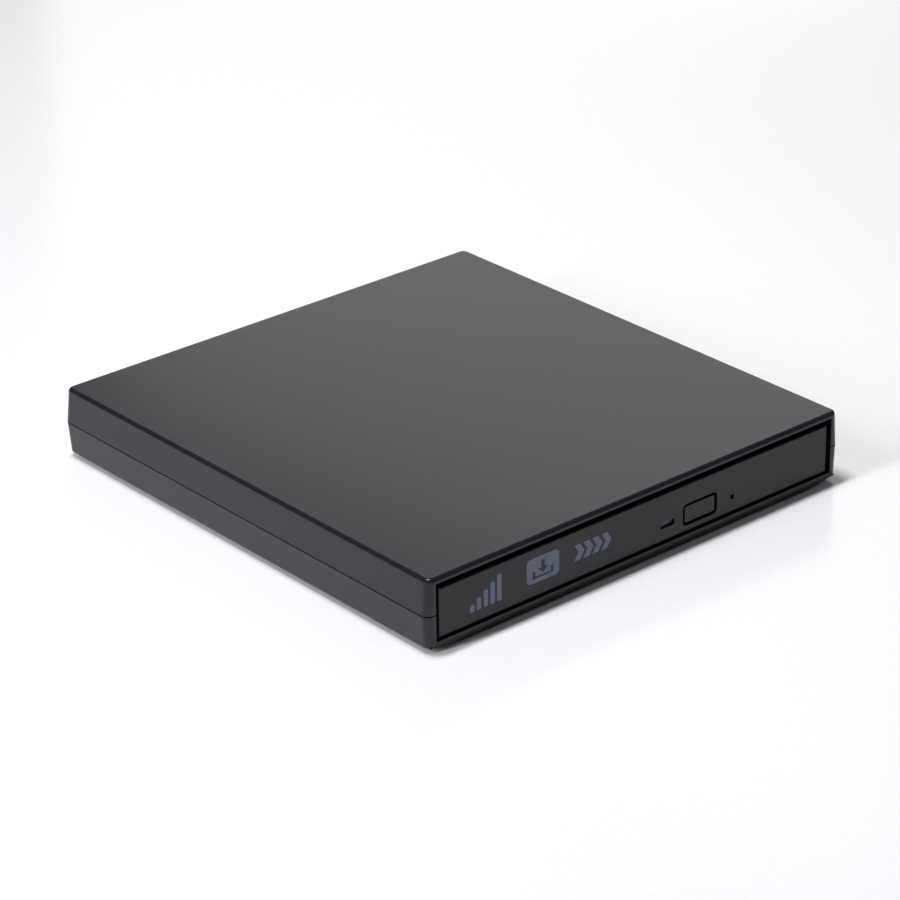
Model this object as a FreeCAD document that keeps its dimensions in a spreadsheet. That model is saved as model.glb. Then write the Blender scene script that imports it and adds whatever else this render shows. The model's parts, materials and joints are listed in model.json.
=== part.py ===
import FreeCAD, Part
import math
import os

import Sketcher
from FreeCAD import Placement, Rotation, Vector

# External optical drive: a two-shell plastic enclosure with a slim tray-loading drive and a
# bridge board inside. Millimetres. X to the right seen from the front, the front faces -Y,
# +Z up, z = 0 on the surface that the feet stand on, origin at the centre of the footprint.

DOC = FreeCAD.newDocument("optical_drive")
NODES = []


# ---------------------------------------------------------------- driving dimensions

SIZES = {
    "enclosure": [
        ("case_width", 136.0, "across the parting line"),
        ("case_depth", 142.8, "front face to back face"),
        ("case_top", 19.2, "top face above the table"),
        ("parting", 9.75, "height of the line between the two shells"),
        ("parting_gap", 0.3, "open groove between the shells"),
        ("side_low", 1.53, "lower edge of the side walls"),
        ("base_level", 0.4, "underside of the lower shell"),
        ("base_inset", 10.5, "width of the shallow bevel under each side"),
        ("top_draft", 0.64, "upper shell's inset at the top, each side"),
        ("low_draft", 0.46, "lower shell's inset at the bottom, each side"),
        ("corner_round", 2.0, "radius of the upright corners"),
        ("top_round", 1.0, "radius of the top edges"),
        ("mouth_half", 65.1, "half width of the front opening and the cavity"),
        ("mouth_low", 2.66, "cavity floor"),
        ("mouth_high", 17.75, "cavity roof"),
        ("wall", 2.0, "back wall"),
        ("tongue", 0.9, "lip of the lower shell inside the upper one"),
        ("tongue_high", 1.5, "height of that lip above the parting line"),
        ("tongue_front", 0.9, "lip held back from the front face"),
        ("shell_play", 0.05, "play between the shells' lip and rebate"),
        ("foot_round", 4.5, "foot radius"),
        ("foot_tall", 1.2, "foot thickness"),
        ("foot_x", 50.0, "feet from the centre line"),
        ("foot_y", 56.0, "feet from the middle, front and back"),
        ("boss_x", 59.5, "case screws from the centre line"),
        ("boss_y", 64.2, "case screws from the middle"),
        ("boss_round", 3.2, "lower screw sleeve"),
        ("rib_thick", 1.2, "locating ribs"),
        ("rib_x", 40.0, "locating ribs from the centre line"),
    ],
    "bridge": [
        ("board_low", 3.6, "bridge board underside"),
        ("board_thick", 1.0, "bridge board"),
        ("board_left", -52.0, "bridge board, left end"),
        ("board_right", 40.0, "bridge board, right end"),
        ("board_front", 61.4, "bridge board, edge towards the drive"),
        ("board_back", 69.2, "bridge board, edge at the back wall"),
        ("usb_x", -30.0, "data socket centre"),
        ("usb_wide", 7.7, "data socket shell"),
        ("usb_tall", 3.9, "data socket shell"),
        ("usb_sheet", 0.35, "data socket sheet metal"),
        ("jack_x", -44.0, "power jack centre"),
        ("jack_round", 2.1, "power jack barrel"),
        ("jack_bore", 1.75, "power jack bore"),
        ("jack_pin", 0.65, "power jack centre pin"),
        ("jack_level", 7.2, "height of the power jack's axis"),
        ("link_half", 17.0, "half width of the 50-way connectors"),
        ("link_plane", 60.0, "where the two connectors meet"),
        ("link_high", 9.0, "top of the connectors"),
    ],
    "drive": [
        ("drive_half", 63.5, "half width of the drive's pan"),
        ("drive_low", 3.2, "underside of the pan"),
        ("drive_front", -68.3, "front edge of the pan"),
        ("drive_back", 57.85, "rear face of the pan"),
        ("pan_high", 15.5, "top of the pan's walls"),
        ("sheet", 0.6, "pan sheet metal"),
        ("lid_sheet", 0.5, "lid sheet metal"),
        ("lid_skirt", 12.5, "lower edge of the lid's side skirts"),
        ("main_low", 4.2, "main board underside"),
        ("main_thick", 0.8, "main board"),
        ("rail_low", 6.6, "moving rail, lower face"),
        ("rail_high", 10.8, "moving rail, upper face"),
        ("rail_in", 59.9, "moving rail, edge towards the tray"),
        ("rail_out", 62.0, "moving rail, outer face"),
        ("rail_sheet", 0.4, "moving rail sheet metal"),
        ("rail_front", -66.0, "moving rail, front end"),
        ("rail_back", 52.0, "moving rail, rear end"),
        ("guide_in", 60.9, "fixed guide, edge towards the tray"),
        ("guide_out", 62.9, "fixed guide, on the pan wall"),
        ("guide_lip", 0.75, "fixed guide, flange thickness"),
        ("play", 0.1, "running clearance of tray and rails"),
    ],
    "tray": [
        ("tray_half", 59.8, "half width of the tray body"),
        ("tray_flange", 62.4, "half width over the tray's top flange"),
        ("tray_rib", 61.5, "half width over the ribs inside the rails"),
        ("tray_front", -68.5, "tray front face"),
        ("tray_back", 56.5, "tray rear face"),
        ("tray_low", 6.5, "tray underside"),
        ("tray_top", 13.2, "tray rim"),
        ("flange_low", 11.7, "underside of the top flange"),
        ("deck_low", 9.8, "underside of the deck"),
        ("deck_high", 11.0, "deck under a full-size disc"),
        ("small_deck", 10.6, "deck under a small disc"),
        ("disc_y", -6.0, "disc centre"),
        ("disc_well", 60.5, "radius of the disc well"),
        ("small_well", 40.5, "radius of the small disc well"),
        ("well_half_x", 59.0, "hollow under the deck, half width"),
        ("well_front", -66.9, "hollow under the deck, front"),
        ("well_back", 54.9, "hollow under the deck, back"),
        ("hub_window", 16.5, "radius of the window round the motor"),
        ("slot_half", 18.9, "half width of the pickup window"),
        ("slot_end", 61.0, "outer end of the pickup window"),
        ("shield_thick", 0.35, "sheet under the tray"),
    ],
    "bezel": [
        ("bezel_half", 64.0, "half width"),
        ("bezel_low", 3.18, "lower edge"),
        ("bezel_high", 16.13, "upper edge"),
        ("bezel_face", -71.05, "front face"),
        ("bezel_plate", 1.4, "plate thickness"),
        ("bezel_rim", 1.2, "rim thickness"),
        ("button_x", 19.7, "button centre"),
        ("button_z", 7.8, "button centre"),
        ("button_wide", 10.1, "button width"),
        ("button_tall", 4.4, "button height"),
        ("button_gap", 0.75, "dark gap round the button"),
        ("button_round", 0.5, "button corner radius"),
        ("button_plate", 1.65, "button plate thickness"),
        ("button_sunk", 0.15, "button face behind the bezel face"),
        ("lamp_x", 8.7, "lamp lens centre"),
        ("lamp_z", 7.5, "lamp lens centre"),
        ("lamp_wide", 4.6, "lamp slot width"),
        ("lamp_tall", 1.6, "lamp slot height"),
        ("lamp_round", 0.35, "lamp slot corner radius"),
        ("lamp_sunk", 0.75, "lamp lens behind the bezel face"),
        ("lamp_play", 0.03, "play round the lamp lens"),
        ("pinhole_x", 30.7, "release hole"),
        ("pinhole_z", 7.4, "release hole"),
        ("pinhole_round", 0.65, "release hole radius"),
    ],
    "spindle": [
        ("plate_low", 6.9, "traverse plate underside"),
        ("plate_thick", 0.5, "traverse plate"),
        ("rotor_round", 13.2, "rotor cup radius"),
        ("rotor_low", 7.95, "rotor cup lower rim"),
        ("rotor_high", 11.0, "rotor cup top"),
        ("cup_sheet", 0.6, "rotor cup sheet"),
        ("shaft_round", 1.0, "spindle shaft radius"),
        ("shaft_play", 0.03, "play in the bearing sleeve"),
        ("sleeve_round", 2.6, "bearing sleeve radius"),
        ("disc_plane", 12.2, "where the disc rests"),
        ("hub_round", 7.45, "centring hub radius"),
        ("hub_top", 14.4, "top of the centring hub"),
        ("pawl_nose", 7.64, "pawl noses at rest"),
        ("pawl_wide", 2.4, "pawl width"),
        ("pawl_low", 12.7, "pawl underside"),
        ("pawl_high", 13.7, "pawl top"),
    ],
    "pickup": [
        ("home", 24.0, "lens radius at the inner stop"),
        ("rod_y", 14.6, "guide rods either side of the sled"),
        ("rod_z", 8.65, "height of the guide rods"),
        ("rod_round", 0.8, "guide rod radius"),
        ("rod_end", 65.4, "outer end of the rods"),
        ("rod_start", 9.0, "inner end of the rods"),
        ("sled_half", 6.0, "half length of the sled"),
        ("turret_half", 3.7, "half length of the raised lens housing"),
        ("screw_y", 19.6, "lead screw"),
        ("screw_round", 1.1, "lead screw radius"),
        ("screw_z", 8.6, "height of the lead screw"),
        ("screw_lead", 3.0, "advance for each turn"),
        ("groove_round", 0.35, "radius of the helical groove"),
        ("lens_round", 1.9, "objective lens radius"),
        ("lens_top", 11.4, "top of the lens"),
    ],
    "latch": [
        ("pivot_x", 39.5, "latch pivot"),
        ("pivot_y", -58.0, "latch pivot"),
        ("pivot_round", 1.0, "latch pivot pin radius"),
        ("hook_low", 4.7, "hook underside"),
        ("hook_high", 5.6, "hook top"),
        ("catch_x", 35.4, "catch pin on the pan"),
        ("catch_y", -46.8, "catch pin on the pan"),
        ("catch_round", 1.0, "catch pin radius"),
        ("arm_low", 6.75, "release arm underside"),
        ("arm_high", 7.95, "release arm top"),
        ("coil_y", -62.9, "solenoid axis"),
        ("coil_z", 8.2, "solenoid axis"),
        ("ejector_x", -50.0, "ejector axis"),
        ("ejector_z", 7.9, "ejector axis"),
    ],
}

SHEET = DOC.addObject("Spreadsheet::Sheet", "Sizes")


class Size:
    """A length that carries the sheet expression which gives it."""

    def __init__(self, value, text):
        self.value = value
        self.text = text

    def __add__(self, other):
        other = as_size(other)
        return Size(self.value + other.value, f"({self.text} + {other.text})")

    def __sub__(self, other):
        other = as_size(other)
        return Size(self.value - other.value, f"({self.text} - {other.text})")

    def __mul__(self, factor):
        return Size(self.value * factor, f"({self.text} * {factor:g})")

    def __truediv__(self, divisor):
        return Size(self.value / divisor, f"({self.text} / {divisor:g})")

    def __neg__(self):
        return Size(-self.value, f"(-{self.text})")

    def __radd__(self, other):
        return as_size(other) + self

    def __rsub__(self, other):
        return as_size(other) - self


def as_size(number):
    """Any number as a Size."""
    if isinstance(number, Size):
        return number
    return Size(float(number), f"({float(number):.6g})")


class Dimensions:
    """The sheet's cells by alias."""


def fill_sheet():
    """Write every driving dimension to the sheet and return them by name."""
    found = Dimensions()
    row = 1
    for group, entries in SIZES.items():
        SHEET.set(f"A{row}", group)
        row += 1
        for alias, value, note in entries:
            SHEET.set(f"A{row}", alias)
            SHEET.set(f"B{row}", f"{value:g}")
            SHEET.set(f"C{row}", note)
            SHEET.setAlias(f"B{row}", alias)
            setattr(found, alias, Size(value, f"Sizes.{alias}"))
            row += 1
    return found


D = fill_sheet()
DOC.recompute()


# ---------------------------------------------------------------- drawing on sketches

def bind(thing, name, size):
    """Bind a property to the sheet."""
    thing.setExpression(name, as_size(size).text)


def fix(sketch, geometry, point, x, y):
    """Hold a point of the sketch at x, y from the sketch's origin."""
    for kind, size in (("DistanceX", as_size(x)), ("DistanceY", as_size(y))):
        number = sketch.addConstraint(Sketcher.Constraint(kind, -1, 1, geometry, point, size.value))
        bind(sketch, f"Constraints[{number}]", size)


def fix_radius(sketch, geometry, radius):
    """Hold the radius of a circle or an arc."""
    number = sketch.addConstraint(Sketcher.Constraint("Radius", geometry, as_size(radius).value))
    bind(sketch, f"Constraints[{number}]", radius)


def polygon(*corners):
    """A closed outline of straight lines."""
    def draw(sketch):
        first = sketch.GeometryCount
        points = [Vector(as_size(x).value, as_size(y).value, 0) for x, y in corners]
        count = len(points)
        for index in range(count):
            sketch.addGeometry(Part.LineSegment(points[index], points[(index + 1) % count]), False)
        for index in range(count):
            follower = first + (index + 1) % count
            sketch.addConstraint(Sketcher.Constraint("Coincident", first + index, 2, follower, 1))
        for index, (x, y) in enumerate(corners):
            fix(sketch, first + index, 1, x, y)
    return draw


def rectangle(low_x, high_x, low_y, high_y):
    """An upright rectangle."""
    return polygon((low_x, low_y), (high_x, low_y), (high_x, high_y), (low_x, high_y))


def circle(x, y, radius):
    """A full circle."""
    def draw(sketch):
        centre = Vector(as_size(x).value, as_size(y).value, 0)
        number = sketch.addGeometry(Part.Circle(centre, Vector(0, 0, 1), as_size(radius).value), False)
        fix(sketch, number, 3, x, y)
        fix_radius(sketch, number, radius)
    return draw


def rounded(low_x, high_x, low_y, high_y, radius):
    """An upright rectangle with round corners: four arcs joined by tangent lines."""
    def draw(sketch):
        first = sketch.GeometryCount
        centres = [
            (high_x - radius, low_y + radius),
            (high_x - radius, high_y - radius),
            (low_x + radius, high_y - radius),
            (low_x + radius, low_y + radius),
        ]
        turn = as_size(radius).value
        ends = []
        for index, (x, y) in enumerate(centres):
            centre = Vector(as_size(x).value, as_size(y).value, 0)
            start = (index - 1) * math.pi / 2
            ring = Part.Circle(centre, Vector(0, 0, 1), turn)
            arc = Part.ArcOfCircle(ring, start, start + math.pi / 2)
            sketch.addGeometry(arc, False)
            ends.append((arc.StartPoint, arc.EndPoint))
        for index in range(4):
            following = (index + 1) % 4
            sketch.addGeometry(Part.LineSegment(ends[index][1], ends[following][0]), False)
        for index, (x, y) in enumerate(centres):
            fix(sketch, first + index, 3, x, y)
            fix_radius(sketch, first + index, radius)
        for index in range(4):
            line = first + 4 + index
            following = first + (index + 1) % 4
            sketch.addConstraint(Sketcher.Constraint("Tangent", first + index, 2, line, 1))
            sketch.addConstraint(Sketcher.Constraint("Tangent", line, 2, following, 1))
    return draw


# ---------------------------------------------------------------- PartDesign bodies

class Moulding:
    """A PartDesign body that grows feature by feature, a node unless it joins a group."""

    def __init__(self, label, grouped=False):
        self.body = DOC.addObject("PartDesign::Body", label)
        self.body.Label = label
        if not grouped:
            NODES.append(self.body)

    def origin(self, role):
        """One of the body's own planes or axes."""
        return next(each for each in self.body.Origin.OriginFeatures if each.Role == role)

    def sketch(self, plane, level, outlines, turn=0.0, centre=(0.0, 0.0)):
        """A sketch on one of the body's origin planes, moved to a level along the plane's axis."""
        drawing = self.body.newObject("Sketcher::SketchObject", self.body.Label + "_sketch")
        drawing.AttachmentSupport = [(self.origin(plane + "_Plane"), "")]
        drawing.MapMode = "FlatFace"
        drawing.AttachmentOffset = Placement(Vector(), Rotation(Vector(0, 0, 1), turn))
        away = -as_size(level) if plane == "XZ" else as_size(level)
        bind(drawing, "AttachmentOffset.Base.z", away)
        for axis, size in zip("xy", centre):
            bind(drawing, f"AttachmentOffset.Base.{axis}", size)
        for outline in outlines:
            outline(drawing)
        DOC.recompute()
        return drawing

    def grow(self, kind, drawing, setup):
        """Add one feature and make sure that it changed the solid the right way."""
        before = self.body.Shape.Volume if self.body.Tip else 0.0
        feature = self.body.newObject("PartDesign::" + kind, self.body.Label + "_" + kind.lower())
        feature.Profile = drawing
        setup(feature)
        DOC.recompute()
        change = self.body.Shape.Volume - before
        cuts = kind in ("Pocket", "Groove")
        if (change >= 0) if cuts else (change <= 0):
            raise ValueError(f"{feature.Name} changed the volume by {change:.4f}")
        return feature

    def extrude(self, kind, plane, low, high, outlines, turn, centre):
        """A pad or pocket between two levels along the plane's own axis."""
        start = high if plane == "XZ" else low
        drawing = self.sketch(plane, start, outlines, turn, centre)

        def setup(feature):
            bind(feature, "Length", as_size(high) - low)
            feature.Reversed = kind == "Pocket"
        return self.grow(kind, drawing, setup)

    def pad(self, plane, low, high, *outlines, turn=0.0, centre=(0.0, 0.0)):
        return self.extrude("Pad", plane, low, high, outlines, turn, centre)

    def pocket(self, plane, low, high, *outlines, turn=0.0, centre=(0.0, 0.0)):
        return self.extrude("Pocket", plane, low, high, outlines, turn, centre)

    def wedge(self, low, low_plan, high, high_plan):
        """A block with flat sloping sides between two rectangles, given as x and y limits."""
        before = self.body.Shape.Volume if self.body.Tip else 0.0
        block = self.body.newObject("PartDesign::AdditiveWedge", self.body.Label + "_wedge")
        block.AttachmentSupport = [(self.origin("XY_Plane"), "")]
        block.MapMode = "FlatFace"
        block.AttachmentOffset = Placement(Vector(), Rotation(Vector(1, 0, 0), 90))
        limits = {"Ymin": low, "Ymax": high}
        for mark, (low_x, high_x, low_y, high_y) in (("", low_plan), ("2", high_plan)):
            limits[f"X{mark}min"] = low_x
            limits[f"X{mark}max"] = high_x
            limits[f"Z{mark}min"] = -as_size(high_y)
            limits[f"Z{mark}max"] = -as_size(low_y)
        for name, size in limits.items():
            bind(block, name, size)
        DOC.recompute()
        if self.body.Shape.Volume <= before:
            raise ValueError(f"{block.Name} added nothing")

    def turn(self, kind, outline):
        """A revolution or groove about Z of an outline drawn in the XZ plane."""
        drawing = self.sketch("XZ", 0, [outline])

        def setup(feature):
            feature.ReferenceAxis = (drawing, ["V_Axis"])
            feature.Angle = 360
        return self.grow(kind, drawing, setup)

    def polar(self, feature, count):
        """Repeat a feature about Z."""
        pattern = self.body.newObject("PartDesign::PolarPattern", self.body.Label + "_pattern")
        pattern.Originals = [feature]
        pattern.Axis = (self.origin("Z_Axis"), [""])
        pattern.Angle = 360
        pattern.Occurrences = count
        self.body.Tip = pattern
        DOC.recompute()

    def dress(self, kind, size, wanted):
        """Fillet or chamfer the edges that the test picks."""
        base = self.body.Tip
        edges = [f"Edge{number}" for number, edge in enumerate(base.Shape.Edges, 1) if wanted(edge)]
        feature = self.body.newObject("PartDesign::" + kind, self.body.Label + "_" + kind.lower())
        feature.Base = (base, edges)
        bind(feature, "Radius" if kind == "Fillet" else "Size", size)
        DOC.recompute()
        return feature

    def place(self, where):
        self.body.Placement = where


def flat_at(level, tolerance=1e-4):
    """Picks edges that lie in the horizontal plane at a height."""
    height = as_size(level).value

    def test(edge):
        box = edge.BoundBox
        return abs(box.ZMin - height) < tolerance and abs(box.ZMax - height) < tolerance
    return test


def facing_front(level, tolerance=1e-4):
    """Picks edges that lie in the upright plane at a depth."""
    depth = as_size(level).value

    def test(edge):
        box = edge.BoundBox
        return abs(box.YMin - depth) < tolerance and abs(box.YMax - depth) < tolerance
    return test


# ---------------------------------------------------------------- Part primitives

def block(x, y, z):
    """A box between three pairs of limits."""
    box = DOC.addObject("Part::Box", "block")
    for name, (low, high) in zip(("Length", "Width", "Height"), (x, y, z)):
        bind(box, name, as_size(high) - low)
    for axis, (low, high) in zip("xyz", (x, y, z)):
        bind(box, f"Placement.Base.{axis}", low)
    return box


AXIS_TURN = {
    "X": Rotation(Vector(0, 1, 0), 90),
    "Y": Rotation(Vector(1, 0, 0), -90),
    "Z": Rotation(),
}


def rod(axis, radius, low, high, one, two):
    """A round bar along an axis between two levels; one and two are its other coordinates."""
    bar = DOC.addObject("Part::Cylinder", "rod")
    bar.Placement = Placement(Vector(), AXIS_TURN[axis])
    bind(bar, "Radius", radius)
    bind(bar, "Height", as_size(high) - low)
    start = {"X": (low, one, two), "Y": (one, low, two), "Z": (one, two, low)}[axis]
    for name, size in zip("xyz", start):
        bind(bar, f"Placement.Base.{name}", size)
    return bar


def fuse(*parts):
    joined = DOC.addObject("Part::MultiFuse", "fuse")
    joined.Shapes = list(parts)
    return joined


def cut(base, *tools):
    """A solid with one or more others taken out of it."""
    hollow = DOC.addObject("Part::Cut", "cut")
    hollow.Base = base
    hollow.Tool = tools[0] if len(tools) == 1 else fuse(*tools)
    return hollow


def node(label, *solids, where=None):
    """Name a sub-part: one solid, or several separate ones that go by one name."""
    thing = solids[0]
    if len(solids) > 1 or where is not None:
        thing = DOC.addObject("Part::Compound", label)
        thing.Links = list(solids)
    thing.Label = label
    if where is not None:
        thing.Placement = where
    NODES.append(thing)
    return thing


def mirrored(value):
    """Both signs of a size."""
    return (-as_size(value), as_size(value))


def screw(x, y, head_round, head_low, head_high, shank_round, shank_high):
    """An upright screw, head down, with a cross recess in its head."""
    head = rod("Z", head_round, head_low, head_high, x, y)
    shank = rod("Z", shank_round, head_high, shank_high, x, y)
    depth = as_size(head_low) + (as_size(head_high) - head_low) * 0.45
    reach = as_size(head_round) * 0.6
    slim = as_size(head_round) * 0.13
    across = [
        block((x - reach, x + reach), (y - slim, y + slim), (head_low, depth)),
        block((x - slim, x + slim), (y - reach, y + reach), (head_low, depth)),
    ]
    return cut(fuse(head, shank), *across)


# ---------------------------------------------------------------- enclosure

def plan_at(inset):
    """The enclosure's plan: both sides and the back are inset, the front stays flat."""
    half = D.case_width / 2 - inset
    return (-half, half, -D.case_depth / 2, D.case_depth / 2 - inset)


def upright(edge):
    """Picks the enclosure's four corner edges."""
    box = edge.BoundBox
    steep = box.ZLength > 3 * max(box.XLength, box.YLength)
    return steep and abs(box.Center.x) > 60 and abs(box.Center.y) > 60


def make_top_cover():
    cover = Moulding("top_cover")
    low = D.parting + D.parting_gap / 2
    cover.wedge(low, plan_at(0.0), D.case_top, plan_at(D.top_draft))
    cover.dress("Fillet", D.corner_round, upright)
    cover.dress("Fillet", D.top_round, flat_at(D.case_top))
    front = -D.case_depth / 2
    back = D.case_depth / 2 - D.wall
    cover.pocket("XY", low, D.mouth_high, rectangle(-D.mouth_half, D.mouth_half, front - 1, back))
    rebate = D.mouth_half + D.tongue + D.shell_play
    rebate_top = D.parting + D.tongue_high + D.shell_play * 2
    cover.pocket("XY", low, rebate_top,
                 rectangle(-rebate, rebate, front + D.tongue_front - D.shell_play,
                           back + D.tongue + D.shell_play))
    bosses = [circle(x, D.boss_y, D.boss_round - 0.4) for x in mirrored(D.boss_x)]
    cover.pad("XY", 7.4, D.mouth_high, *bosses)
    pilots = [circle(x, D.boss_y, 1.05) for x in mirrored(D.boss_x)]
    cover.pocket("XY", 7.4, 14.5, *pilots)
    lid_top = D.pan_high + D.lid_sheet
    ribs = [rectangle(x - D.rib_thick / 2, x + D.rib_thick / 2, -60, 50) for x in mirrored(D.rib_x)]
    cover.pad("XY", lid_top, D.mouth_high, *ribs)
    for side in (-1, 1):
        inner = D.mouth_half * side
        outer = (D.bezel_half + 0.05) * side
        low_x, high_x = (inner, outer) if side < 0 else (outer, inner)
        stops = [rectangle(low_x, high_x, y, y + D.rib_thick) for y in (-50, 0, 50)]
        cover.pad("XY", 12.5, D.mouth_high, *stops)


def make_bottom_cover():
    shell = Moulding("bottom_cover")
    high = D.parting - D.parting_gap / 2
    base_half = D.case_width / 2 - D.base_inset
    base = (-base_half, base_half, -D.case_depth / 2, D.case_depth / 2 - 1.5)
    shell.wedge(D.side_low, plan_at(D.low_draft), high, plan_at(0.0))
    shell.dress("Fillet", D.corner_round, upright)
    shell.wedge(D.base_level, base, D.side_low, plan_at(D.low_draft + D.corner_round * 0.3))
    lip = D.mouth_half + D.tongue
    front = -D.case_depth / 2
    back = D.case_depth / 2 - D.wall
    lip_front = front + D.tongue_front
    shell.pad("XY", high, D.parting + D.tongue_high, rectangle(-lip, lip, lip_front, back + D.tongue))
    shell.pocket("XY", D.mouth_low, D.parting + D.tongue_high,
                 rectangle(-D.mouth_half, D.mouth_half, front - 1, back))
    feet = [circle(x, y, D.foot_round + 0.1) for x in mirrored(D.foot_x) for y in mirrored(D.foot_y)]
    shell.pocket("XY", D.base_level, D.foot_tall, *feet)
    shell.pocket("XY", D.base_level, D.base_level + 0.2, rounded(-30, 30, -22, 22, D.corner_round))
    sleeves = [circle(x, D.boss_y, D.boss_round) for x in mirrored(D.boss_x)]
    shell.pad("XY", D.mouth_low, 7.35, *sleeves)
    wells = [circle(x, D.boss_y, 2.5) for x in mirrored(D.boss_x)]
    shell.pocket("XY", D.base_level, 3.4, *wells)
    holes = [circle(x, D.boss_y, 1.2) for x in mirrored(D.boss_x)]
    shell.pocket("XY", 3.4, 7.35, *holes)
    ribs = [rectangle(x - D.rib_thick / 2, x + D.rib_thick / 2, -66, 55) for x in (-D.rib_x, 0, D.rib_x)]
    shell.pad("XY", D.mouth_low, D.drive_low, *ribs)
    shell.pad("XY", D.mouth_low, D.board_low, circle(-49, 65.3, 2), circle(36, 65.3, 2))
    shell.pad("XY", D.mouth_low, 6.0, circle(50, 61, 1.2))
    socket = D.usb_wide / 2 + 0.2
    usb_low = D.board_low + D.board_thick
    shell.pocket("XZ", back - 0.1, back + D.wall + 1,
                 rounded(D.usb_x - socket, D.usb_x + socket, usb_low - 0.15,
                         usb_low + D.usb_tall + 0.2, 0.6),
                 circle(D.jack_x, D.jack_level, D.jack_round + 0.15))
    vents = [rounded(x, x + 1.4, 4.4, 8.4, 0.6) for x in range(8, 38, 4)]
    shell.pocket("XZ", back - 0.1, back + D.wall + 1, *vents)


def make_enclosure_hardware():
    feet = []
    for x in mirrored(D.foot_x):
        for y in mirrored(D.foot_y):
            foot = rod("Z", D.foot_round, 0, D.foot_tall, x, y)
            soft = DOC.addObject("Part::Fillet", "foot")
            soft.Base = foot
            DOC.recompute()
            low_edge = [number for number, edge in enumerate(foot.Shape.Edges, 1)
                        if edge.BoundBox.ZMax < 1e-4]
            soft.Edges = [(number, 0.3, 0.3) for number in low_edge]
            feet.append(soft)
    node("rubber_feet", *feet)
    node("case_screws", *[screw(x, D.boss_y, 2.3, 1.9, 3.4, 1.0, 13.5) for x in mirrored(D.boss_x)])


# ---------------------------------------------------------------- bridge electronics

def make_bridge():
    top = D.board_low + D.board_thick
    board = Moulding("bridge_board")
    board.pad("XY", D.board_low, top,
              rectangle(D.board_left, D.board_right, D.board_front, D.board_back),
              circle(-49, 65.3, 0.95), circle(36, 65.3, 0.95))
    plug = block(mirrored(D.link_half), (D.link_plane, 63.8), (top, D.link_high))
    tongue = block(mirrored(D.link_half - 2.1), (D.link_plane - 1.5, D.link_plane), (5.9, 7.6))
    node("bridge_connector", fuse(plug, tongue))

    shell = Moulding("usb_shell", grouped=True)
    low = D.usb_x - D.usb_wide / 2
    high = D.usb_x + D.usb_wide / 2
    roof = top + D.usb_tall
    foot = top + 1.4
    shell.pad("XZ", 62.2, 71.2,
              polygon((low, roof), (low, foot), (low + 1.1, top), (high - 1.1, top), (high, foot),
                      (high, roof)))
    sheet = D.usb_sheet
    shell.pocket("XZ", 62.8, 71.2,
                 polygon((low + sheet, roof - sheet), (low + sheet, foot), (low + 1.3, top + sheet),
                         (high - 1.3, top + sheet), (high - sheet, foot), (high - sheet, roof - sheet)))
    blade = block((D.usb_x - 2.4, D.usb_x + 2.4), (62.8, 69.6), (roof - 1.75, roof - 1.05))
    pins = [block((D.usb_x + x - 0.2, D.usb_x + x + 0.2), (63.2, 69.3), (roof - 1.87, roof - 1.75))
            for x in (-1.6, -0.8, 0, 0.8, 1.6)]
    node("usb_socket", shell.body, fuse(blade, *pins))

    body = block((D.jack_x - 3, D.jack_x + 3), (62.2, 69.3), (top, D.jack_level + 2.4))
    barrel = rod("Y", D.jack_round, 69.3, 71.2, D.jack_x, D.jack_level)
    bore = rod("Y", D.jack_bore, 64.0, 71.2, D.jack_x, D.jack_level)
    pin = rod("Y", D.jack_pin, 64.0, 70.6, D.jack_x, D.jack_level)
    node("power_jack", cut(fuse(body, barrel), bore), pin)
    parts = [
        block((-20, -13), (64.1, 68.9), (top, top + 1.0)),
        block((-9, -5.5), (64.6, 68.9), (top, top + 1.2)),
        rod("Z", 2.0, top, top + 4.6, 1.5, 66.6),
        rod("Z", 2.0, top, top + 4.6, 7.0, 66.6),
        block((12, 22), (64.5, 68.7), (top, top + 2.2)),
        block((25, 30), (64.5, 68.5), (top, top + 1.3)),
    ]
    node("bridge_components", *parts)
    pegs = [(-49, 65.3), (36, 65.3)]
    screws = []
    for x, y in pegs:
        head = rod("Z", 1.6, top, top + 0.9, x, y)
        shank = rod("Z", 0.8, 3.65, top, x, y)
        slot = block((x - 1.1, x + 1.1), (y - 0.2, y + 0.2), (top + 0.5, top + 0.9))
        screws.append(cut(fuse(head, shank), slot))
    for x in (46.3, 53.7):
        head = rod("Y", 1.6, 58.4, 59.3, x, 11.5)
        shank = rod("Y", 0.8, 57.0, 58.4, x, 11.5)
        slot = block((x - 1.1, x + 1.1), (58.9, 59.3), (11.3, 11.7))
        screws.append(cut(fuse(head, shank), slot))
    node("small_screws", *screws)

    bracket = Moulding("rear_bracket")
    bracket.pad("XZ", D.drive_back, 58.4, rectangle(44, 56, 4.6, 14))
    bracket.pad("XY", 4.6, 5.15, rectangle(44, 56, 58.4, 63.2))
    bracket.pocket("XZ", D.drive_back, 58.4, circle(46.3, 11.5, 0.95), circle(53.7, 11.5, 0.95))
    bracket.pocket("XY", 4.6, 5.15, circle(50, 61, 1.35))


# ---------------------------------------------------------------- drive chassis

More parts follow.
